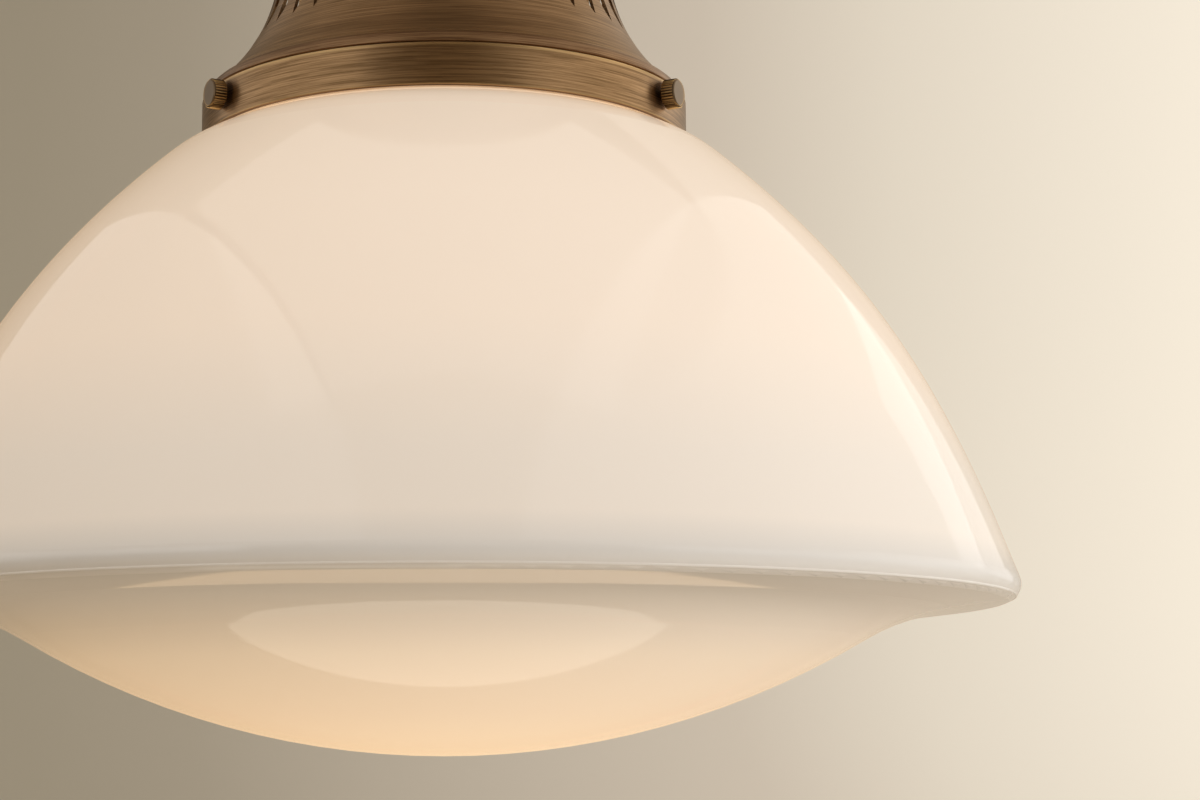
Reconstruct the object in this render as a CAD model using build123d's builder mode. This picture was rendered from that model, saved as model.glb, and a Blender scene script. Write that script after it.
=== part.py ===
from build123d import *
import os
from math import cos, radians, sin, tan

os.makedirs("parts", exist_ok=True)

# A flush mount ceiling light. A brass pan is screwed to a bar on the ceiling box. Under it a
# pierced brass gallery and a shade holder hang on a threaded pipe, and three thumbscrews in
# the holder carry a closed opal glass shade round three lamps.
# Millimetres. The origin is on the ceiling, on the light's axis, and Z points up.

# Spun brass and clearances
sheet = 1.2  # wall of the pan, the gallery and the holder
hole_gap = 0.3  # radial play of a fixing in a plain hole
run_gap = 0.06  # radial play of a screw in its thread
seat_gap = 0.2  # play of the glass lip on the thumbscrews

# Ceiling pan
canopy_r = 77.0
canopy_depth = 22.0
canopy_edge_r = 3.5

# Pierced gallery, a spool with one hollow arc for its side
gallery_h = 83.0
waist_r = 54.9
waist_drop = 35.7  # from the pan down to the waist
head_inset = 11.3  # from the pan's edge in to the gallery's head
foot_inset = 4.5  # from the holder's band in to the gallery's foot
slot_count = 40
slot_w = 4.4
slot_tip_h = 9.0  # height of a slot's pointed end
slot_top_margin = 9.0
slot_bottom_margin = 16.0
flange_w = 5.0  # width of the gallery's turned-in flanges, at its head and its foot

# Shade holder
band_r = 80.0
holder_h = 18.5
band_h = 13.0
groove_w = 0.7
groove_depth = 0.6
bead_bulge = 0.9
band_edge_r = 0.5

# Thumbscrews
screw_count = 3
first_screw_angle = -30
screw_r = 2.0
screw_up = 8.1  # from the band's lower edge up to the screw's axis
head_r = 4.7
head_len = 4.3
head_gap = 1.0  # between the tight screw's head and the band
knurl_count = 32
knurl_depth = 0.35
head_face_h = 0.5  # the plain ring round the head's flat face
head_face_edge = 0.3
tip_gap = 0.7  # between the tight screw's tip and the glass neck
bush_r = 3.4
bush_len = 1.5
bush_fit = 0.05

# Opal glass shade
glass_t = 3.0
neck_r = 74.5
lip_reach = 2.4  # how far the lip stands out from the neck
lip_clear = 1.8  # between the lip and the holder's top
lip_round = 2.0
neck_fillet = 8.4
shoulder_gap = 1.1  # between the band's lower edge and the shoulder
shoulder_slope = 20.0
crown_r = 43.0
crown_slope = 41.0
crown_pull = 65.4
skirt_pull = 55.8
shade_r = 180.5
shade_drop = 145.6  # from the band's lower edge to the middle of the rim
skirt_slope = 70.4
rim_r = 5.2
seam_angle = -46.0  # where the mould's line runs round the rim, from the level
seam_r = 0.6
seam_h = 0.25
shelf_w = 17.0
shelf_slope = 7.0
shelf_fillet = 65.0
bowl_slope = 30.5

# Centre pipe, its nuts and washers
pipe_r = 5.1
pipe_bore_r = 3.5
pipe_end = 2.0  # thread that stands out past the last nut
pipe_chamfer = 0.5
nut_flats = 14.3
nut_h = 4.0
washer_r = 10.0
washer_t = 1.0

# Lamp cluster
lamp_count = 3
first_lamp_angle = 30
lamp_ring_r = 38.0
plate_r = 60.0
plate_t = 1.5
vent_count = 6
vent_r = 5.5
vent_ring_r = 50.0
socket_r = 19.0
socket_len = 40.0
socket_edge_r = 1.5
socket_bore_r = 14.3
shell_t = 0.4
shell_gap = 0.1  # between the screw shell and the porcelain
contact_r = 4.0
contact_t = 1.0
socket_screw_r = 1.75
socket_screw_head_r = 3.2
socket_screw_head_h = 2.0
socket_screw_len = 8.0
socket_screw_spread = 11.5

# Bulbs
bulb_r = 30.0
bulb_len = 110.0
bulb_wall = 1.0
bulb_neck_r = 14.5
cap_r = 13.1
cap_len = 25.0
cap_turns = 5
cap_groove = 0.6
cap_groove_share = 1 / 3  # of the pitch, from a groove's middle to its side
cap_cone_h = 2.0
cap_cone_slope = 60.0
cap_button_h = 1.0
cap_gap = 0.3  # from the bulb's tip to the contact
globe_turn = 120.0
bulb_stand = 0.5  # from the socket's mouth down to the bulb's glass

# Mounting bar and its screws
bar_t = 1.9
bar_w = 22.0
bar_end_gap = 1.1  # between the bar's ears and the pan's wall
ear_h = 16.0
box_spacing_min = 70.0
box_spacing_max = 89.0
box_screw_r = 2.2
bar_centre_r = 5.15
side_screw_r = 2.0
side_screw_drop = 11.0
side_screw_len = 9.0
side_head_r = 4.0
side_head_h = 2.4
side_head_dome = 0.6  # share of the head's height that is rounded
ground_x = 18.0
ground_screw_r = 2.0
ground_screw_len = 6.0
ground_head_r = 4.2
ground_head_h = 2.6
drive_w = 1.0
drive_depth = 1.0

# Heights that follow from the stack under the ceiling
canopy_z = -canopy_depth
foot_z = canopy_z - gallery_h
collar_z = foot_z - holder_h
groove_z = collar_z + band_h
holder_under_z = foot_z - sheet
screw_z = collar_z + screw_up
lip_z = screw_z + screw_r + seat_gap
lip_top_z = holder_under_z - lip_clear
upper_nut_z = canopy_z + sheet + washer_t
plate_top_z = holder_under_z - nut_h
socket_z = plate_top_z - plate_t
lower_nut_z = socket_z - nut_h
socket_mouth_z = socket_z - socket_len
socket_bore_len = contact_t + cap_gap + cap_len - bulb_stand
socket_floor_z = socket_mouth_z + socket_bore_len
contact_z = socket_floor_z - contact_t
bulb_top_z = contact_z - cap_gap
bulb_bottom_z = bulb_top_z - bulb_len
bulb_mid_z = bulb_bottom_z + bulb_r

# Radii that follow
head_ring_r = canopy_r - head_inset
foot_ring_r = band_r - foot_inset
band_inner_r = band_r - sheet
canopy_inner_r = canopy_r - sheet
bar_half = canopy_inner_r - bar_end_gap
screw_tip_r = neck_r + tip_gap
shell_outer_r = socket_bore_r - shell_gap

screw_angles = [first_screw_angle + 360 / screw_count * i for i in range(screw_count)]
lamp_angles = [first_lamp_angle + 360 / lamp_count * i for i in range(lamp_count)]


def lamp_point(angle):
    """Where one lamp's axis stands in plan."""
    return (lamp_ring_r * cos(radians(angle)), lamp_ring_r * sin(radians(angle)))


def upright(x, y):
    """A plane through a vertical axis at x, y, with its own Y running up."""
    return Plane(origin=(x, y, 0), x_dir=(1, 0, 0), z_dir=(0, -1, 0))


def radial(angle, radius, z):
    """A plane square to the radius at this angle, facing outwards."""
    c, s = cos(radians(angle)), sin(radians(angle))
    return Plane(origin=(radius * c, radius * s, z), x_dir=(-s, c, 0), z_dir=(c, s, 0))


# Mounting bar: a steel strap with two ears, slots for the box screws and a tapped centre
slot_middle = (box_spacing_min + box_spacing_max) / 4
slot_travel = (box_spacing_max - box_spacing_min) / 2
with BuildPart() as mounting_bar:
    with BuildSketch(Plane.XY.offset(-bar_t)):
        Rectangle(2 * bar_half, bar_w)
        with Locations((-slot_middle, 0), (slot_middle, 0)):
            SlotCenterToCenter(slot_travel, 2 * box_screw_r, mode=Mode.SUBTRACT)
        Circle(bar_centre_r, mode=Mode.SUBTRACT)
        with Locations((ground_x, 0)):
            Circle(ground_screw_r + run_gap, mode=Mode.SUBTRACT)
    extrude(amount=bar_t)
    with BuildSketch(Plane.XY.offset(-ear_h)):
        with Locations((bar_half - bar_t / 2, 0), (-bar_half + bar_t / 2, 0)):
            Rectangle(bar_t, bar_w)
    extrude(amount=ear_h)
    ends = mounting_bar.faces().sort_by(Axis.X)
    fillet(ends[0].edges().sort_by(Axis.Z)[-1], bar_t)
    fillet(ends[-1].edges().sort_by(Axis.Z)[-1], bar_t)
    with BuildSketch(Plane.YZ.offset(-bar_half)):
        with Locations((0, -side_screw_drop)):
            Circle(side_screw_r + run_gap)
    extrude(amount=2 * bar_half, mode=Mode.SUBTRACT)
mounting_bar.part.label = "mounting_bar"

# Ceiling pan: a spun cup, open to the ceiling, with a hole for the pipe and two side screws
with BuildPart() as canopy:
    with BuildSketch(Plane.XZ):
        with BuildLine():
            Polyline(
                (pipe_r + hole_gap, canopy_z),
                (canopy_r, canopy_z),
                (canopy_r, 0),
                (canopy_inner_r, 0),
                (canopy_inner_r, canopy_z + sheet),
                (pipe_r + hole_gap, canopy_z + sheet),
                close=True,
            )
        make_face()
        corners = vertices().group_by(Axis.X)
        fillet(corners[-1].sort_by(Axis.Y)[0], canopy_edge_r)
        fillet(corners[-2].sort_by(Axis.Y)[0], canopy_edge_r - sheet)
    revolve(axis=Axis.Z)
    with BuildSketch(Plane.YZ.offset(-canopy_r)):
        with Locations((0, -side_screw_drop)):
            Circle(side_screw_r + hole_gap)
    extrude(amount=2 * canopy_r, mode=Mode.SUBTRACT)
canopy.part.label = "canopy"

# The cutter for one slot of the gallery, pointed at both ends
slot_top_z = canopy_z - slot_top_margin
slot_bottom_z = foot_z + slot_bottom_margin
slot_start_r = waist_r - 2 * sheet
with BuildPart() as slot_tool:
    with BuildSketch(Plane.XZ.offset(slot_start_r)):
        with BuildLine():
            high = (slot_w / 2, slot_top_z - slot_tip_h)
            low = (slot_w / 2, slot_bottom_z + slot_tip_h)
            TangentArc(high, (0, slot_top_z), tangent=(0, 1))
            Line(high, low)
            TangentArc(low, (0, slot_bottom_z), tangent=(0, -1))
            mirror(about=Plane.YZ)
        make_face()
    extrude(amount=canopy_r - slot_start_r)

# Pierced gallery: a spool of thin brass whose side is one hollow arc between two flanges
with BuildPart() as gallery:
    with BuildSketch(Plane.XZ):
        with BuildLine():
            side = ThreePointArc(
                (head_ring_r, canopy_z),
                (waist_r, canopy_z - waist_drop),
                (foot_ring_r, foot_z),
            )
            inside = ThreePointArc(
                (head_ring_r - sheet, canopy_z),
                (waist_r - sheet, canopy_z - waist_drop),
                (foot_ring_r - sheet, foot_z),
            )
            Line(side @ 0, inside @ 0)
            Line(side @ 1, inside @ 1)
        make_face()
        with Locations((head_ring_r - sheet, canopy_z)):
            Rectangle(flange_w, sheet, align=(Align.MAX, Align.MAX))
        with Locations((foot_ring_r - sheet, foot_z)):
            Rectangle(flange_w, sheet, align=(Align.MAX, Align.MIN))
    revolve(axis=Axis.Z)
    with PolarLocations(0, slot_count, start_angle=180 / slot_count):
        add(slot_tool.part, mode=Mode.SUBTRACT)
gallery.part.label = "gallery"

# Shade holder: a flat top, a rounded shoulder, a groove and the straight band
vent_angle = 180 / vent_count
with BuildPart() as shade_holder:
    with BuildSketch(Plane.XZ):
        with BuildLine():
            shoulder = SagittaArc(
                (band_r, groove_z + groove_w), (foot_ring_r, foot_z), -bead_bulge
            )
            Polyline(
                shoulder @ 1,
                (pipe_r + hole_gap, foot_z),
                (pipe_r + hole_gap, holder_under_z),
                (foot_ring_r - sheet, holder_under_z),
                (band_inner_r, groove_z),
                (band_inner_r, collar_z),
                (band_r, collar_z),
                (band_r, groove_z),
                (band_r - groove_depth, groove_z + groove_w / 2),
                shoulder @ 0,
            )
        make_face()
        fillet(vertices().group_by(Axis.Y)[0].sort_by(Axis.X)[-1], band_edge_r)
    revolve(axis=Axis.Z)
    with BuildSketch(Plane.XY.offset(holder_under_z)):
        with PolarLocations(vent_ring_r, vent_count, start_angle=vent_angle):
            Circle(vent_r)
    extrude(amount=sheet, mode=Mode.SUBTRACT)
    for angle in screw_angles:
        with BuildSketch(radial(angle, neck_r, screw_z)):
            Circle(screw_r + run_gap)
        extrude(amount=band_r, mode=Mode.SUBTRACT)
shade_holder.part.label = "shade_holder"

# Tapped bushes set in the band's inner wall, one for each thumbscrew
with BuildPart() as band_bushes:
    for angle in screw_angles:
        with BuildSketch(radial(angle, band_inner_r - bush_len, screw_z)):
            Circle(bush_r)
        extrude(amount=2 * bush_len)
    with BuildSketch(Plane.XY.offset(collar_z)):
        Circle(band_inner_r - bush_fit)
    extrude(amount=holder_h, mode=Mode.INTERSECT)
    for angle in screw_angles:
        with BuildSketch(radial(angle, neck_r, screw_z)):
            Circle(screw_r + run_gap)
        extrude(amount=band_r, mode=Mode.SUBTRACT)
band_bushes.part.label = "band_bushes"

# Thumbscrews: a knurled round head on a short screw, whose tip stands under the glass lip
thumbscrews = []
for number, angle in enumerate(screw_angles, start=1):
    with BuildPart() as thumbscrew:
        with BuildSketch(radial(angle, band_r + head_gap, screw_z)):
            Circle(head_r)
            with PolarLocations(head_r, knurl_count):
                RegularPolygon(knurl_depth, 4, mode=Mode.SUBTRACT)
        extrude(amount=head_len - head_face_h)
        with BuildSketch(radial(angle, band_r + head_gap + head_len, screw_z)):
            Circle(head_r - knurl_depth)
        extrude(amount=-head_len)
        outward = Axis((0, 0, screw_z), radial(angle, head_r, screw_z).z_dir)
        chamfer(thumbscrew.faces().sort_by(outward)[-1].edges(), head_face_edge)
        with BuildSketch(radial(angle, screw_tip_r, screw_z)):
            Circle(screw_r)
        extrude(amount=band_r + head_gap - screw_tip_r)
    thumbscrew.part.label = f"thumbscrew_{number}"
    thumbscrews.append(thumbscrew.part)


# Opal glass shade
def heading(degrees):
    """The unit direction at this angle from the radius."""
    return Vector(cos(radians(degrees)), sin(radians(degrees)))


rim_turn = 180 - skirt_slope
rim_middle = Vector(shade_r - rim_r, collar_z - shade_drop)
neck_sweep = 90 - shoulder_slope
neck_foot_z = collar_z - shoulder_gap + neck_fillet * sin(radians(neck_sweep))
hollow_w = shelf_fillet * (sin(radians(bowl_slope)) - sin(radians(shelf_slope)))
hollow_h = shelf_fillet * (cos(radians(shelf_slope)) - cos(radians(bowl_slope)))
shelf_end = rim_middle + heading(shelf_slope - 90) * rim_r
bowl_end = shelf_end - heading(shelf_slope) * shelf_w - Vector(hollow_w, hollow_h)
bowl_r = bowl_end.X / sin(radians(bowl_slope))
bowl_z = bowl_end.Y - bowl_r * (1 - cos(radians(bowl_slope)))
pull_share = 4 / 3 * tan(radians(skirt_slope - crown_slope) / 4)


def glass_wall(inset):
    """Draws one face of the glass from the bowl's centre up to the neck, this far in."""
    bowl = JernArc((0, bowl_z + inset), (1, 0), bowl_r - inset, bowl_slope)
    hollow = JernArc(bowl @ 1, bowl % 1, shelf_fillet + inset, shelf_slope - bowl_slope)
    shelf = Line(hollow @ 1, hollow @ 1 + heading(shelf_slope) * shelf_w)
    rim = JernArc(shelf @ 1, shelf % 1, rim_r - inset, rim_turn - shelf_slope)
    neck = Line((neck_r - inset, lip_z), (neck_r - inset, neck_foot_z))
    flare = JernArc(neck @ 1, (0, -1), neck_fillet + inset, neck_sweep)
    crown = JernArc(flare @ 1, flare % 1, crown_r - inset, shoulder_slope - crown_slope)
    Bezier(
        rim @ 1,
        rim @ 1 + heading(rim_turn) * (skirt_pull - inset * pull_share),
        crown @ 1 + heading(-crown_slope) * (crown_pull - inset * pull_share),
        crown @ 1,
    )


with BuildPart() as glass_shade:
    with BuildSketch(Plane.XZ):
        with BuildLine():
            glass_wall(0)
            glass_wall(glass_t)
            Line((0, bowl_z), (0, bowl_z + glass_t))
            Line((neck_r, lip_z), (neck_r - glass_t, lip_z))
        make_face()
    revolve(axis=Axis.Z)
    with BuildSketch(Plane.XZ):
        with Locations((neck_r - glass_t, lip_z)):
            Rectangle(glass_t + lip_reach, lip_top_z - lip_z, align=(Align.MIN, Align.MIN))
        fillet(vertices().group_by(Axis.Y)[-1], lip_round)
    revolve(axis=Axis.Z)
    with BuildSketch(Plane.XZ):
        with Locations(rim_middle + heading(seam_angle) * (rim_r + seam_h - seam_r)):
            Circle(seam_r)
    revolve(axis=Axis.Z)
glass_shade.part.label = "glass_shade"

# Centre pipe: the threaded pipe that hangs the gallery, the holder and the lamps on the pan
pipe_top_z = upper_nut_z + nut_h + pipe_end
pipe_foot_z = lower_nut_z - pipe_end
with BuildPart() as centre_pipe:
    with BuildSketch(Plane.XY.offset(pipe_foot_z)):
        Circle(pipe_r)
        Circle(pipe_bore_r, mode=Mode.SUBTRACT)
    extrude(amount=pipe_top_z - pipe_foot_z)
    chamfer(centre_pipe.edges().filter_by(GeomType.CIRCLE).sort_by(Axis.Z)[0], pipe_chamfer)
centre_pipe.part.label = "centre_pipe"

# Hex nuts on the pipe: one in the pan, one above the lamp plate and one below it
with BuildPart() as pipe_nuts:
    for z in (upper_nut_z, plate_top_z, lower_nut_z):
        with BuildSketch(Plane.XY.offset(z)):
            RegularPolygon(nut_flats / 2, 6, major_radius=False)
            Circle(pipe_r + run_gap, mode=Mode.SUBTRACT)
        extrude(amount=nut_h)
pipe_nuts.part.label = "pipe_nuts"

# Washer under the upper nut
with BuildPart() as pipe_washer:
    with BuildSketch(Plane.XY.offset(canopy_z + sheet)):
        Circle(washer_r)
        Circle(pipe_r + hole_gap, mode=Mode.SUBTRACT)
    extrude(amount=washer_t)
pipe_washer.part.label = "pipe_washer"

# Side screws: round slotted heads outside the pan, threaded into the bar's ears
with BuildPart() as canopy_screws:
    for angle in (0, 180):
        with BuildSketch(radial(angle, canopy_r, -side_screw_drop)):
            Circle(side_head_r)
        extrude(amount=side_head_h)
        with BuildSketch(radial(angle, canopy_r - side_screw_len, -side_screw_drop)):
            Circle(side_screw_r)
        extrude(amount=side_screw_len)
    rims = canopy_screws.edges().filter_by(GeomType.CIRCLE).group_by(Axis.X)
    fillet(rims[0] + rims[-1], side_head_h * side_head_dome)
    for angle in (0, 180):
        with BuildSketch(radial(angle, canopy_r + side_head_h - drive_depth, -side_screw_drop)):
            Rectangle(2 * side_head_r, drive_w)
        extrude(amount=drive_depth, mode=Mode.SUBTRACT)
canopy_screws.part.label = "canopy_screws"

# Ground screw in the bar
with BuildPart() as ground_screw:
    with BuildSketch(Plane.XY.offset(-bar_t)):
        with Locations((ground_x, 0)):
            RegularPolygon(ground_head_r, 6)
    extrude(amount=-ground_head_h)
    with BuildSketch(Plane.XY.offset(-bar_t - ground_head_h)):
        with Locations((ground_x, 0)):
            Rectangle(2 * ground_head_r, drive_w)
    extrude(amount=drive_depth, mode=Mode.SUBTRACT)
    with BuildSketch(Plane.XY.offset(-bar_t)):
        with Locations((ground_x, 0)):
            Circle(ground_screw_r)
    extrude(amount=bar_t)
ground_screw.part.label = "ground_screw"

# Lamp plate: a steel disc under the holder with vents, and screw holes for the sockets
with BuildPart() as lamp_plate:
    with BuildSketch(Plane.XY.offset(socket_z)):
        Circle(plate_r)
        Circle(pipe_r + hole_gap, mode=Mode.SUBTRACT)
        with PolarLocations(vent_ring_r, vent_count, start_angle=vent_angle):
            Circle(vent_r, mode=Mode.SUBTRACT)
        for angle in lamp_angles:
            with Locations(Location((*lamp_point(angle), 0), angle)):
                with Locations((0, -socket_screw_spread), (0, socket_screw_spread)):
                    Circle(socket_screw_r + hole_gap, mode=Mode.SUBTRACT)
    extrude(amount=plate_t)
lamp_plate.part.label = "lamp_plate"

# Lamp sockets, their screws and contacts, and the bulbs in them
lamp_pieces = []
socket_screws_z = plate_top_z - socket_screw_len
shell_len = socket_bore_len - contact_t - cap_gap
bulb_seat_z = bulb_top_z - cap_len
cap_side_h = cap_len - cap_cone_h - cap_button_h
groove_pitch = cap_side_h / (cap_turns + 1)
for number, angle in enumerate(lamp_angles, start=1):
    x, y = lamp_point(angle)
    spread = Location((x, y, 0), angle)

    # Porcelain body, open below, with two blind holes for its screws
    with BuildPart() as socket_body:
        with BuildSketch(Plane((x, y, socket_z))):
            Circle(socket_r)
        extrude(amount=-socket_len)
        fillet(socket_body.edges().filter_by(GeomType.CIRCLE), socket_edge_r)
        with BuildSketch(Plane((x, y, socket_mouth_z))):
            Circle(socket_bore_r)
        extrude(amount=socket_bore_len, mode=Mode.SUBTRACT)
        with BuildSketch(Plane.XY.offset(socket_screws_z)):
            with Locations(spread):
                with Locations((0, -socket_screw_spread), (0, socket_screw_spread)):
                    Circle(socket_screw_r + run_gap)
        extrude(amount=socket_screw_len, mode=Mode.SUBTRACT)
    socket_body.part.label = f"socket_body_{number}"

    # Screw shell, a thin sleeve lining the bore
    with BuildPart() as socket_shell:
        with BuildSketch(Plane((x, y, socket_mouth_z))):
            Circle(shell_outer_r)
            Circle(shell_outer_r - shell_t, mode=Mode.SUBTRACT)
        extrude(amount=shell_len)
    socket_shell.part.label = f"socket_shell_{number}"

    # Centre contact on the bore's floor
    with BuildPart() as socket_contact:
        with BuildSketch(Plane((x, y, contact_z))):
            Circle(contact_r)
        extrude(amount=contact_t)
    socket_contact.part.label = f"socket_contact_{number}"

    # Bulb's metal cap, with the rounded turns of its thread and the tip that meets the contact
    with BuildPart() as bulb_cap:
        with BuildSketch(Plane((x, y, bulb_seat_z))):
            Circle(cap_r)
        extrude(amount=cap_side_h)
        with BuildSketch(Plane((x, y, bulb_seat_z + cap_side_h))):
            Circle(cap_r - cap_groove)
        extrude(amount=cap_cone_h, taper=cap_cone_slope)
        with BuildSketch(Plane((x, y, bulb_top_z - cap_button_h))):
            Circle(contact_r)
        extrude(amount=cap_button_h)
        with BuildSketch(upright(x, y)):
            for turn in range(1, cap_turns + 1):
                with Locations((cap_r, bulb_seat_z + turn * groove_pitch)):
                    Ellipse(cap_groove, groove_pitch * cap_groove_share)
        revolve(axis=Axis((x, y, 0), (0, 0, 1)), mode=Mode.SUBTRACT)
    bulb_cap.part.label = f"bulb_cap_{number}"

    # Bulb's glass: a thin shell, round below and drawn in to the cap
    with BuildPart() as bulb_glass:
        with BuildSketch(upright(x, y)):
            with BuildLine():
                for inset in (0, bulb_wall):
                    globe = JernArc((0, bulb_bottom_z + inset), (1, 0), bulb_r - inset, globe_turn)
                    neck_end = (bulb_neck_r - inset, bulb_seat_z)
                    Spline(globe @ 1, neck_end, tangents=[globe % 1, (0, 1)])
                Line((0, bulb_bottom_z), (0, bulb_bottom_z + bulb_wall))
                Line((bulb_neck_r, bulb_seat_z), (bulb_neck_r - bulb_wall, bulb_seat_z))
            make_face()
        revolve(axis=Axis((x, y, 0), (0, 0, 1)))
    bulb_glass.part.label = f"bulb_glass_{number}"

    lamp_pieces += [
        socket_body.part,
        socket_shell.part,
        socket_contact.part,
        bulb_cap.part,
        bulb_glass.part,
    ]

# Screws that hold the sockets to the lamp plate, with their heads above it
with BuildPart() as socket_screws:
    for angle in lamp_angles:
        spread = Location((*lamp_point(angle), 0), angle)
        with BuildSketch(Plane.XY.offset(plate_top_z)):
            with Locations(spread):
                with Locations((0, -socket_screw_spread), (0, socket_screw_spread)):
                    Circle(socket_screw_head_r)
        extrude(amount=socket_screw_head_h)
        with BuildSketch(Plane.XY.offset(socket_screws_z)):
            with Locations(spread):
                with Locations((0, -socket_screw_spread), (0, socket_screw_spread)):
                    Circle(socket_screw_r)
        extrude(amount=socket_screw_len)
socket_screws.part.label = "socket_screws"

pieces = [
    mounting_bar.part,
    canopy.part,
    gallery.part,
    shade_holder.part,
    band_bushes.part,
    *thumbscrews,
    glass_shade.part,
    centre_pipe.part,
    pipe_nuts.part,
    pipe_washer.part,
    canopy_screws.part,
    ground_screw.part,
    lamp_plate.part,
    socket_screws.part,
    *lamp_pieces,
]
for piece in pieces:
    export_step(piece, f"parts/{piece.label}.step")
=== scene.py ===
# %% [markdown]
# A flush mount ceiling light, dressed in Blender. The metal and glass forms come from the packed
# frame, which is in metres: z = 0 is the ceiling, +z is up, and the light hangs below it. This
# script adds finishes, light, a floor and a camera. Most forms need no second model, because
# spun brass and blown glass are already exact solids of revolution.

# %% Load the frame
import math

import bmesh
import bpy
from mathutils import Matrix, Vector


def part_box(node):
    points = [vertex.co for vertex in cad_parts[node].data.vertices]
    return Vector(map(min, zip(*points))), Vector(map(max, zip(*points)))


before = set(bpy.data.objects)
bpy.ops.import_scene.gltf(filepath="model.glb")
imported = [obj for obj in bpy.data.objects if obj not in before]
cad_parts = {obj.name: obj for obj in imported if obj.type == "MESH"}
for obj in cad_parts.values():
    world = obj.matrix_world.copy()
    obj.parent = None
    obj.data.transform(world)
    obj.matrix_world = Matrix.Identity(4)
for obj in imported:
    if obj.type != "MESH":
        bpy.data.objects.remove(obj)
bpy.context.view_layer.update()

# %% [markdown]
# Colours are picked as sRGB hex values, the way a paint chart gives them, but shaders work in
# linear light. One function turns the first into the second. A second small function adds a node
# with its settings and its links, so that every finish below reads like a recipe. The others
# start a finish from constant values, find its shader, and spread colours over a ramp.

# %% Colour and node helpers
MM = 0.001


def linear(hex_value):
    """An sRGB hex colour as the linear RGBA that a shader socket takes."""
    channels = [int(hex_value[i : i + 2], 16) / 255 for i in (1, 3, 5)]
    return (
        *[c / 12.92 if c <= 0.04045 else ((c + 0.055) / 1.055) ** 2.4 for c in channels],
        1.0,
    )


def add_node(tree, kind, inputs=None, **settings):
    """Adds a node. Each input is a value, or another node's output socket to link."""
    made = tree.nodes.new(kind)
    for name, value in settings.items():
        setattr(made, name, value)
    for name, value in (inputs or {}).items():
        if isinstance(value, bpy.types.NodeSocket):
            tree.links.new(value, made.inputs[name])
        else:
            made.inputs[name].default_value = value
    return made


def shader_of(finish):
    return finish.node_tree.nodes["Principled BSDF"]


def new_finish(name, **values):
    """A material whose Principled shader has these constant values."""
    finish = bpy.data.materials.new(name)
    finish.use_nodes = True
    for socket, value in values.items():
        shader_of(finish).inputs[socket.replace("_", " ")].default_value = value
    return finish


def spread_colours(ramp, spots):
    """Puts linear colours on a ramp, each at its share of the way from 0 to 1."""
    stops = ramp.color_ramp.elements
    stops.remove(stops[1])
    for i, (share, colour) in enumerate(spots):
        stop = stops[0] if i == 0 else stops.new(share)
        stop.position, stop.color = share, colour


print("middle grey in linear light:", [round(c, 3) for c in linear("#808080")])

# %% [markdown]
# Antique brass is real brass that has been darkened chemically and then brushed back on a lathe.
# The eye sees a brown metal with fine rings round its axis, each ring a little lighter or darker.
# The rings come from noise that reads only the radius and the height, so they always run round
# the light's axis. Real brush lines are about 0.1 mm wide. Here they are twice as wide, so that
# they still show in the picture. On the shade holder, bands at set heights are painted light:
# painted highlights on the band's two edges and on the bead's crest, and painted shade under the
# band's lower edge, in the groove and on the bead.

# %% Antique brass
LINE_MM = 0.22  # width of a brush line
LINE_DRIFT = 0.0192  # share of the true place that is mixed in, so that each line ends somewhere
PATINA_MM = 6.25  # size of the broader bands in the patina
BROWN, WORN_BROWN = "#7E6242", "#BC986F"
RAMP_START, RAMP_END = 0.36, 0.64  # noise values that get the dark and the light brown
PAINTED_BAND_TINT = (0.5, 0.37, 0.17)  # the warm colour that a painted highlight adds and a painted shade takes away


def turned_coordinates(tree):
    """Radius and height in a vector, with a slow drift round the axis that ends each line."""
    place = add_node(tree, "ShaderNodeTexCoord").outputs["Object"]
    flat = add_node(tree, "ShaderNodeVectorMath", {0: place, 1: (1, 1, 0)}, operation="MULTIPLY")
    radius = add_node(tree, "ShaderNodeVectorMath", {0: flat.outputs[0]}, operation="LENGTH")
    height = add_node(tree, "ShaderNodeSeparateXYZ", {"Vector": place})
    turned = add_node(
        tree,
        "ShaderNodeCombineXYZ",
        {"X": radius.outputs["Value"], "Z": height.outputs["Z"]},
    )
    drift = add_node(
        tree, "ShaderNodeVectorMath", {0: place, "Scale": LINE_DRIFT}, operation="SCALE"
    )
    moved = add_node(tree, "ShaderNodeVectorMath", {0: turned.outputs[0], 1: drift.outputs[0]})
    return moved.outputs[0]


def add_painted_bands(tree, colour, painted_bands):
    """Adds painted highlights and painted shade to a colour, in bands at the listed heights."""
    place = add_node(tree, "ShaderNodeTexCoord").outputs["Object"]
    height = add_node(tree, "ShaderNodeSeparateXYZ", {"Vector": place}).outputs["Z"]
    low, high = painted_bands[0][0], painted_bands[-1][0]
    share = add_node(
        tree,
        "ShaderNodeMapRange",
        {"Value": height, "From Min": low * MM, "From Max": high * MM},
    )
    ramp = add_node(tree, "ShaderNodeValToRGB", {"Fac": share.outputs["Result"]})
    spread_colours(
        ramp,
        [
            ((z - low) / (high - low), (*[0.5 + part * added for part in PAINTED_BAND_TINT], 1))
            for z, added in painted_bands
        ],
    )
    return add_node(
        tree,
        "ShaderNodeMix",
        {"Factor": 1.0, 6: colour, 7: ramp.outputs["Color"]},
        data_type="RGBA",
        blend_type="LINEAR_LIGHT",
    ).outputs[2]


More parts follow.
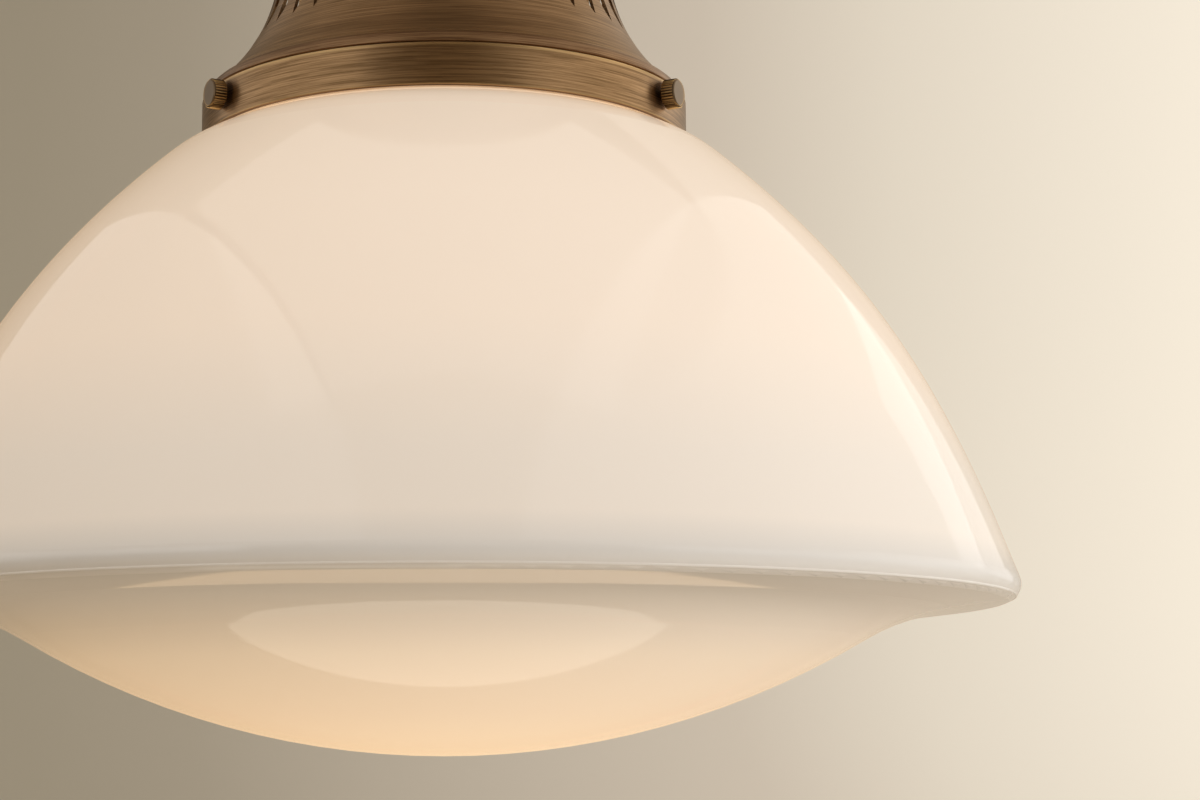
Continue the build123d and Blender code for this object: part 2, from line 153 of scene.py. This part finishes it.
def brushed_brass(name, painted_bands=()):
    """Brass with lines brushed round the axis, which spread a highlight upwards.

    The optional list gives heights in millimetres, lowest first, each with the painted highlight
    (above 0) or painted shade (below 0) that it adds.
    """
    finish = new_finish(
        name, Metallic=1.0, Roughness=0.38, Anisotropic=0.8, Anisotropic_Rotation=0.25
    )
    tree = finish.node_tree
    turned = turned_coordinates(tree)
    lines = add_node(
        tree,
        "ShaderNodeTexNoise",
        {"Vector": turned, "Scale": 0.5 / (LINE_MM * MM), "Detail": 3.0, "Roughness": 0.65},
    )
    patina = add_node(
        tree,
        "ShaderNodeTexNoise",
        {"Vector": turned, "Scale": 1 / (PATINA_MM * MM), "Detail": 2.0},
    )
    mix = add_node(
        tree,
        "ShaderNodeMix",
        {"Factor": 0.2, "A": lines.outputs["Fac"], "B": patina.outputs["Fac"]},
    )
    ramp = add_node(tree, "ShaderNodeValToRGB", {"Fac": mix.outputs[0]})
    spread_colours(ramp, ((RAMP_START, linear(BROWN)), (RAMP_END, linear(WORN_BROWN))))
    colour = ramp.outputs["Color"]
    if painted_bands:
        colour = add_painted_bands(tree, colour, painted_bands)
    tree.links.new(colour, shader_of(finish).inputs["Base Color"])
    bump = add_node(
        tree,
        "ShaderNodeBump",
        {"Height": lines.outputs["Fac"], "Strength": 0.2, "Distance": 0.05 * MM},
    )
    tree.links.new(bump.outputs["Normal"], shader_of(finish).inputs["Normal"])
    return finish


# Painted light on the shade holder: painted highlights on its edges and the bead's crest, painted
# shade under the band and in the groove.
HOLDER_PAINTED_BANDS = (  # height in millimetres, and the painted highlight or painted shade that it adds
    (-123.5, -0.10),  # painted shade under the band's lower edge
    (-123.2, 0.16),  # painted highlight on that edge
    (-122.7, 0.0),
    (-111.6, 0.0),
    (-110.9, 0.22),  # painted highlight on the band's upper edge
    (-110.4, 0.25),
    (-110.2, -0.08),  # painted shade in the groove and on the bead
    (-106.4, -0.08),
    (-105.7, 0.12),  # painted highlight on the bead's crest
    (-105.0, 0.12),
)
antique_brass = brushed_brass("antique_brushed_brass")
holder_brass = brushed_brass("antique_holder_brass", painted_bands=HOLDER_PAINTED_BANDS)
print("finishes:", antique_brass.name, holder_brass.name)

# %% [markdown]
# The thumbscrews are the same darkened brass, with painted highlights on the tops of their ribs
# and on a ring round their flat face, and painted shade between the ribs. Both follow from the
# distance to the screw's own axis, so each screw gets a finish with its axis in it.

# %% Knurled brass for the thumbscrews
# Painted highlights at 4.1 mm, a ring on the flat face, and at 4.66 mm, the rib tops and rim;
# painted shade at 4.35 mm, between the ribs.
PAINTED_SCREW_RINGS = (  # distance from the axis in millimetres, and the colour there
    (0.0, "#75634D"),
    (3.9, "#7B6850"),
    (4.1, "#C4A06A"),
    (4.35, "#2E1F10"),
    (4.5, "#5F4527"),
    (4.66, "#DDB97C"),
)
RINGS_END = 5.0  # the ramp's full distance in millimetres


def knurled_brass(screw):
    """The finish of one thumbscrew, coloured by the distance from its axis in millimetres."""
    low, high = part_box(screw)
    middle = (Vector(low) + Vector(high)) / 2
    outward = Vector((middle.x, middle.y, 0)).normalized()
    finish = new_finish("knurled_brass_" + screw[-1], Metallic=1.0, Roughness=0.3)
    tree = finish.node_tree
    place = add_node(tree, "ShaderNodeTexCoord").outputs["Object"]
    raised = add_node(
        tree, "ShaderNodeVectorMath", {0: place, 1: (0, 0, middle.z)}, operation="SUBTRACT"
    ).outputs[0]
    along = add_node(
        tree, "ShaderNodeVectorMath", {0: raised, 1: outward}, operation="DOT_PRODUCT"
    )
    on_axis = add_node(
        tree,
        "ShaderNodeVectorMath",
        {0: outward, "Scale": along.outputs["Value"]},
        operation="SCALE",
    )
    off_axis = add_node(
        tree, "ShaderNodeVectorMath", {0: raised, 1: on_axis.outputs[0]}, operation="SUBTRACT"
    )
    radius = add_node(tree, "ShaderNodeVectorMath", {0: off_axis.outputs[0]}, operation="LENGTH")
    share = add_node(
        tree,
        "ShaderNodeMapRange",
        {"Value": radius.outputs["Value"], "From Min": 0.0, "From Max": RINGS_END * MM},
    )
    ramp = add_node(tree, "ShaderNodeValToRGB", {"Fac": share.outputs["Result"]})
    spread_colours(ramp, [(r / RINGS_END, linear(colour)) for r, colour in PAINTED_SCREW_RINGS])
    tree.links.new(ramp.outputs["Color"], shader_of(finish).inputs["Base Color"])
    return finish


screw_brass = {screw: knurled_brass(screw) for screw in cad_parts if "thumbscrew" in screw}
plain_brass = new_finish(
    "plain_brass", Metallic=1.0, Roughness=0.35, Base_Color=linear("#C9A766")
)
print("finishes:", len(screw_brass), plain_brass.name)

# %% [markdown]
# Opal glass is clear glass with fine crystals all through it: white, and glossy as water. Light
# from the lamps inside turns warm on its way out, most of all in the bowl under them. A true
# scattering volume would be slow and noisy, so the glow is a colour that the glass gives off,
# which grows from the neck down to the middle of the bowl.

# %% Opal glass
NECK_Z, BOWL_Z = -0.10, -0.3214
GLOW = (  # share of the way down from the neck to the bowl, and the colour given off there
    (0.0, "#967C5F"),
    (0.30, "#9C8164"),
    (0.48, "#997E61"),
    (0.64, "#83705A"),
    (0.72, "#7F6C56"),
    (0.765, "#43382A"),  # the shelf under the rim, turned away from the lamps
    (0.80, "#705D46"),
    (0.87, "#AC8E6A"),
    (0.94, "#C3A078"),
    (1.0, "#D8B386"),
)


def glass_finish():
    finish = new_finish("opal_glass", Roughness=0.05, IOR=1.5, Base_Color=linear("#E8E4D9"))
    tree, shader = finish.node_tree, shader_of(finish)
    place = add_node(tree, "ShaderNodeTexCoord").outputs["Object"]
    height = add_node(tree, "ShaderNodeSeparateXYZ", {"Vector": place}).outputs["Z"]
    depth = add_node(
        tree,
        "ShaderNodeMapRange",
        {"Value": height, "From Min": NECK_Z, "From Max": BOWL_Z},
    )
    glow = add_node(tree, "ShaderNodeValToRGB", {"Fac": depth.outputs["Result"]})
    spread_colours(glow, [(share, linear(colour)) for share, colour in GLOW])
    tree.links.new(glow.outputs["Color"], shader.inputs["Emission Color"])
    shader.inputs["Emission Strength"].default_value = 1.0
    return finish


opal_glass = glass_finish()
print("finish:", opal_glass.name)

# %% [markdown]
# The parts inside are seen only through the gallery's slots or when the glass is off, but each
# has its real finish: zinc on pressed steel, white glaze on porcelain, bright nickel on the bulb
# caps, and a fine white coat inside the bulbs, which shine softly. The green screw is the one
# that takes the ground wire.

# %% Finishes of the inner parts
zinc_steel = new_finish(
    "zinc_plated_steel", Metallic=1.0, Roughness=0.4, Base_Color=linear("#B9BBB8")
)
green_steel = new_finish(
    "green_ground_screw", Metallic=0.6, Roughness=0.4, Base_Color=linear("#3E7A3C")
)
porcelain = new_finish(
    "glazed_porcelain", Roughness=0.15, IOR=1.5, Base_Color=linear("#EFEBE2")
)
nickel_cap = new_finish(
    "nickel_cap", Metallic=1.0, Roughness=0.25, Base_Color=linear("#C9C5BB")
)
frosted_bulb = new_finish(
    "frosted_bulb_glass",
    Roughness=0.35,
    Base_Color=linear("#F4EFE6"),
    Emission_Color=linear("#FFD9A8"),
    Emission_Strength=2.0,
)
print("inner finishes:", 5)

# %% [markdown]
# Every node of the frame gets one of these finishes. The frame's names say what each piece is,
# so a table from the start of a name to its finish covers them all.

# %% Dress the nodes
FINISHES = {
    "canopy_screws": antique_brass,
    "canopy": antique_brass,
    "gallery": antique_brass,
    "shade_holder": holder_brass,
    **screw_brass,
    "glass_shade": opal_glass,
    "centre_pipe": plain_brass,
    "pipe_nuts": plain_brass,
    "band_bushes": plain_brass,
    "socket_contact": plain_brass,
    "mounting_bar": zinc_steel,
    "lamp_plate": zinc_steel,
    "pipe_washer": zinc_steel,
    "socket_screws": zinc_steel,
    "ground_screw": green_steel,
    "socket_body": porcelain,
    "socket_shell": nickel_cap,
    "bulb_cap": nickel_cap,
    "bulb_glass": frosted_bulb,
}
for name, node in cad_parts.items():
    finish = next(FINISHES[start] for start in FINISHES if name.startswith(start))
    if not node.material_slots:
        node.data.materials.append(finish)
    for slot in node.material_slots:
        slot.material = finish
print("dressed:", len(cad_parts))

# %% [markdown]
# The light is photographed in a studio. A pale floor curves up into a pale wall, so that no edge
# shows behind the light. It is large, and far enough below that its shadow stays soft.

# %% Floor and backdrop
FLOOR_Z = -0.95
FLAT_R, TURN_R, WALL_H = 2.6, 1.0, 5.0  # flat floor, its turn upwards, and the wall, in metres
TURN_STEPS, SPIN_STEPS = 12, 96


def sweep_floor():
    """A floor that turns up into a wall on every side, as one spun bowl."""
    shape = bmesh.new()
    profile = [(0.0, FLOOR_Z), (FLAT_R, FLOOR_Z)]
    for step in range(1, TURN_STEPS + 1):
        a = math.radians(90 * step / TURN_STEPS)
        profile.append((FLAT_R + TURN_R * math.sin(a), FLOOR_Z + TURN_R * (1 - math.cos(a))))
    profile.append((FLAT_R + TURN_R, FLOOR_Z + WALL_H))
    points = [shape.verts.new((r, 0, z)) for r, z in profile]
    edges = [shape.edges.new(pair) for pair in zip(points, points[1:])]
    bmesh.ops.spin(
        shape,
        geom=points + edges,
        axis=(0, 0, 1),
        cent=(0, 0, 0),
        angle=math.tau,
        steps=SPIN_STEPS,
        use_merge=True,
        use_duplicate=False,
    )
    bmesh.ops.remove_doubles(shape, verts=shape.verts, dist=1e-6)
    bmesh.ops.recalc_face_normals(shape, faces=shape.faces)
    for face in shape.faces:
        face.smooth = True
    mesh = bpy.data.meshes.new("backdrop")
    shape.to_mesh(mesh)
    shape.free()
    return bpy.data.objects.new("backdrop", mesh)


backdrop = sweep_floor()
bpy.context.scene.collection.objects.link(backdrop)
print("backdrop faces:", len(backdrop.data.polygons))

# %% [markdown]
# One soft lamp at the far right lights such a wall, so it grows from a dull brown on the left to
# nearly white on the right. A real lamp for that would change the light on the object too. So
# the wall's shade is a colour that only the camera sees in full, and reflections see in part. It
# gives no light of its own, and the floor still takes the object's shadow.

# %% The wall's shade
PALE_SIDE = (0.8, 0.45, 0)  # the direction in which the wall grows pale
DARK_END, PALE_END = -1.5, 2.78  # metres in that direction
REFLECTED = 0.45  # share of the shade that reflections show
WALL_SHADES = (
    (0.0, "#3A352C"),
    (0.57, "#6E6859"),
    (0.63, "#797264"),
    (0.82, "#B1A799"),
    (0.88, "#CCC4B5"),
    (1.0, "#EEE6D7"),
)


def paper_finish():
    finish = new_finish("studio_paper", Roughness=0.9, Base_Color=linear("#B4AA98"))
    tree, shader = finish.node_tree, shader_of(finish)
    place = add_node(tree, "ShaderNodeTexCoord").outputs["Object"]
    across = add_node(
        tree, "ShaderNodeVectorMath", {0: place, 1: PALE_SIDE}, operation="DOT_PRODUCT"
    )
    share = add_node(
        tree,
        "ShaderNodeMapRange",
        {"Value": across.outputs["Value"], "From Min": DARK_END, "From Max": PALE_END},
    )
    tint = add_node(tree, "ShaderNodeValToRGB", {"Fac": share.outputs["Result"]})
    spread_colours(tint, [(spot, linear(colour)) for spot, colour in WALL_SHADES])
    tree.links.new(tint.outputs["Color"], shader.inputs["Emission Color"])
    ray = add_node(tree, "ShaderNodeLightPath").outputs
    seen = add_node(
        tree,
        "ShaderNodeMath",
        {0: ray["Is Glossy Ray"], 1: REFLECTED, 2: ray["Is Camera Ray"]},
        operation="MULTIPLY_ADD",
    )
    tree.links.new(seen.outputs[0], shader.inputs["Emission Strength"])
    return finish


backdrop.data.materials.append(paper_finish())
print("wall shades:", len(WALL_SHADES))

# %% [markdown]
# Glossy glass shows its lamps as clearly as a mirror, so the shape of each lamp matters. Three
# soft panels hang above the light, left, middle and right, and their edges draw the faint curves
# on the dome. A fourth, at the back right, gives the glass its bright right edge. The narrow
# strips and sides light only what is glossy: they are the long gleams on the brass. The fills
# light only what is matt, from the front, the right and the floor, so that they lift the shade
# side and show nowhere as a shape. The camera sees no lamp, only what each one does.

# %% Studio lamps
WATTS = 4.0  # watts of an area lamp for each square metre that looks as bright as white paper
PANEL_Z = 1.5
WHITE, COOL, BLUISH, FLOOR_COOL = "#FFFFFF", "#F6F6FF", "#EEF2FF", "#F4F6FF"
LAMPS = (  # name, corner, first edge, second edge, brightness, colour, rays that miss the lamp
    (
        "panel_middle",
        (-1.15, -1.28, PANEL_Z + 0.12),
        (2.3, 0, 0),
        (0, 2.15, 0),
        0.24,
        WHITE,
        None,
    ),
    ("panel_left", (-1.49, 2.3, PANEL_Z), (-2.0, -0.44, -1.6), (1.0, -4.5, 0), 0.29, WHITE, None),
    ("panel_right", (1.36, 2.3, PANEL_Z), (-0.86, -4.5, 0), (2.4, -0.46, -2.0), 0.31, WHITE, None),
    ("strip_left", (-1.77, -0.94, -0.5), (0.62, -0.70, 0), (0, 0, 0.9), 0.65, WHITE, "diffuse"),
    ("strip_right", (1.15, -1.64, -0.5), (0.62, 0.70, 0), (0, 0, 0.9), 0.4, WHITE, "diffuse"),
    ("side_left", (-1.73, 1.0, -0.5), (-0.04, -1.94, 0), (0, 0, 0.9), 0.45, WHITE, "diffuse"),
    ("side_right", (1.77, -0.94, -0.5), (-0.04, 1.94, 0), (0, 0, 0.9), 0.22, WHITE, "diffuse"),
    ("back_right", (2.75, 1.70, -0.4), (-0.85, 0.85, 0), (0, 0, 1.9), 0.31, WHITE, None),
    ("fill_front", (-0.8, -2.4, 0.0), (1.6, 0, 0), (0, 0, 1.2), 2.8, COOL, "glossy"),
    ("fill_right", (1.3, -1.3, -0.4), (0.6, 1.9, 0), (0, 0, 1.1), 0.8, BLUISH, "glossy"),
    ("fill_floor", (0.7, 0.3, -0.92), (0.9, 0, 0), (0, -1.1, 0), 2.9, FLOOR_COOL, "glossy"),
)


def soft_panel(name, corner, across, along, brightness, colour):
    """A rectangular area lamp from one corner and two edges. It shines away from their cross."""
    corner, across, along = Vector(corner), Vector(across), Vector(along)
    x_axis = across.normalized()
    z_axis = x_axis.cross(along).normalized()
    lamp = bpy.data.lights.new(name, "AREA")
    lamp.shape = "RECTANGLE"
    lamp.size, lamp.size_y = across.length, along.length
    lamp.energy = WATTS * brightness * lamp.size * lamp.size_y
    lamp.color = linear(colour)[:3]
    holder = bpy.data.objects.new(name, lamp)
    holder.location = corner + (across + along) / 2
    holder.rotation_euler = Matrix((x_axis, z_axis.cross(x_axis), z_axis)).transposed().to_euler()
    holder.visible_camera = False
    bpy.context.scene.collection.objects.link(holder)
    return holder


for *panel, missed in LAMPS:
    holder = soft_panel(*panel)
    if missed:
        setattr(holder, "visible_" + missed, False)
print("lamps:", len(LAMPS))

# %% [markdown]
# A panel's frame has a dark edge, which the dome shows as one thin brown curve on the left. A
# pale card lies on the floor behind the light. Its far edge is bowed, so that the bowl, which
# bends it the other way, shows a flat pale oval. The camera itself doesn't see these pieces,
# only their reflections, and they throw no light or shadow on the object.

# %% The panel's frame and the pale card
def stage_piece(name, shape, finish):
    """Turns a bmesh into a piece of the studio that only reflections show."""
    mesh = bpy.data.meshes.new(name)
    shape.to_mesh(mesh)
    shape.free()
    piece = bpy.data.objects.new(name, mesh)
    piece.data.materials.append(finish)
    piece.visible_camera = False
    piece.visible_diffuse = False
    piece.visible_shadow = False
    bpy.context.scene.collection.objects.link(piece)
    return piece


def frame_bar(name, start, run, width):
    """A flat dark strip along one edge of a panel."""
    start, run = Vector(start), Vector(run)
    side = Vector((-run.y, run.x, 0)).normalized() * width
    shape = bmesh.new()
    bmesh.ops.create_grid(shape, x_segments=1, y_segments=1, size=0.5)
    middle = start + run / 2
    place = Matrix((
        (side.x, run.x, 0, middle.x),
        (side.y, run.y, 0, middle.y),
        (0, 0, 1, middle.z),
        (0, 0, 0, 1),
    ))
    bmesh.ops.transform(shape, matrix=place, verts=shape.verts)
    return stage_piece(name, shape, dark_frame)


dark_frame = new_finish("dark_frame", Roughness=0.8, Base_Color=linear("#3A2C20"))
frame_bar("seam_left", (-1.12, 0.74, PANEL_Z - 0.02), (0.46, -2.05, 0), 0.05)

CARD_HALF, CARD_X, CARD_NEAR, CARD_FAR = 0.32, 0.01, 0.1, 0.5176  # metres
CARD_BOW = 1.1  # how fast the far edge comes nearer to each side
CARD_STEPS = 24


def pale_card(name, height):
    """A card on the floor with two straight sides and a bowed far edge."""
    shape = bmesh.new()
    spots = [CARD_HALF * (2 * i / CARD_STEPS - 1) for i in range(CARD_STEPS + 1)]
    edge = [shape.verts.new((x + CARD_X, CARD_FAR - CARD_BOW * x * x, height)) for x in spots]
    near = [shape.verts.new((x + CARD_X, CARD_NEAR, height)) for x in (CARD_HALF, -CARD_HALF)]
    shape.faces.new(edge + near)
    bmesh.ops.triangulate(shape, faces=shape.faces)
    return stage_piece(name, shape, card_paper)


card_paper = new_finish(
    "pale_card",
    Roughness=0.9,
    Base_Color=linear("#B4AA98"),
    Emission_Color=linear("#FFF4E2"),
    Emission_Strength=0.7,
)
pale_card("floor_card", FLOOR_Z + 0.01)
print("card width:", 2 * CARD_HALF, "depth:", round(CARD_FAR - CARD_NEAR, 3))

# %% [markdown]
# The world is the light that comes from everywhere else in the room. It is weak and warm, so
# that the sides that face the camera keep their shade.

# %% World
world = bpy.data.worlds.new("studio")
bpy.context.scene.world = world
world.use_nodes = True
everywhere = world.node_tree.nodes["Background"]
everywhere.inputs["Color"].default_value = linear("#FFDCAD")
everywhere.inputs["Strength"].default_value = 0.2
print("world:", world.name)

# %% [markdown]
# The camera stands level with the bottom of the bowl and looks slightly up through a rather long
# lens. A sideways shift, and not a turn, puts the light left of the middle, so that its rings
# stay level.

# %% Camera
CAMERA_PLACE = (0, -0.7273, -0.314)
LOOK_UP = 8.36  # degrees above the level
camera_data = bpy.data.cameras.new("camera")
camera_data.lens = 67.55
camera_data.sensor_width = 36.0
camera_data.shift_x = 0.13
camera_data.shift_y = 0.0017
camera_data.clip_start = 0.01
camera = bpy.data.objects.new("camera", camera_data)
camera.location = CAMERA_PLACE
camera.rotation_euler = (math.radians(90 + LOOK_UP), 0, 0)
bpy.context.scene.collection.objects.link(camera)
bpy.context.scene.camera = camera
bpy.context.scene.view_settings.view_transform = "Standard"
print("camera at:", CAMERA_PLACE)
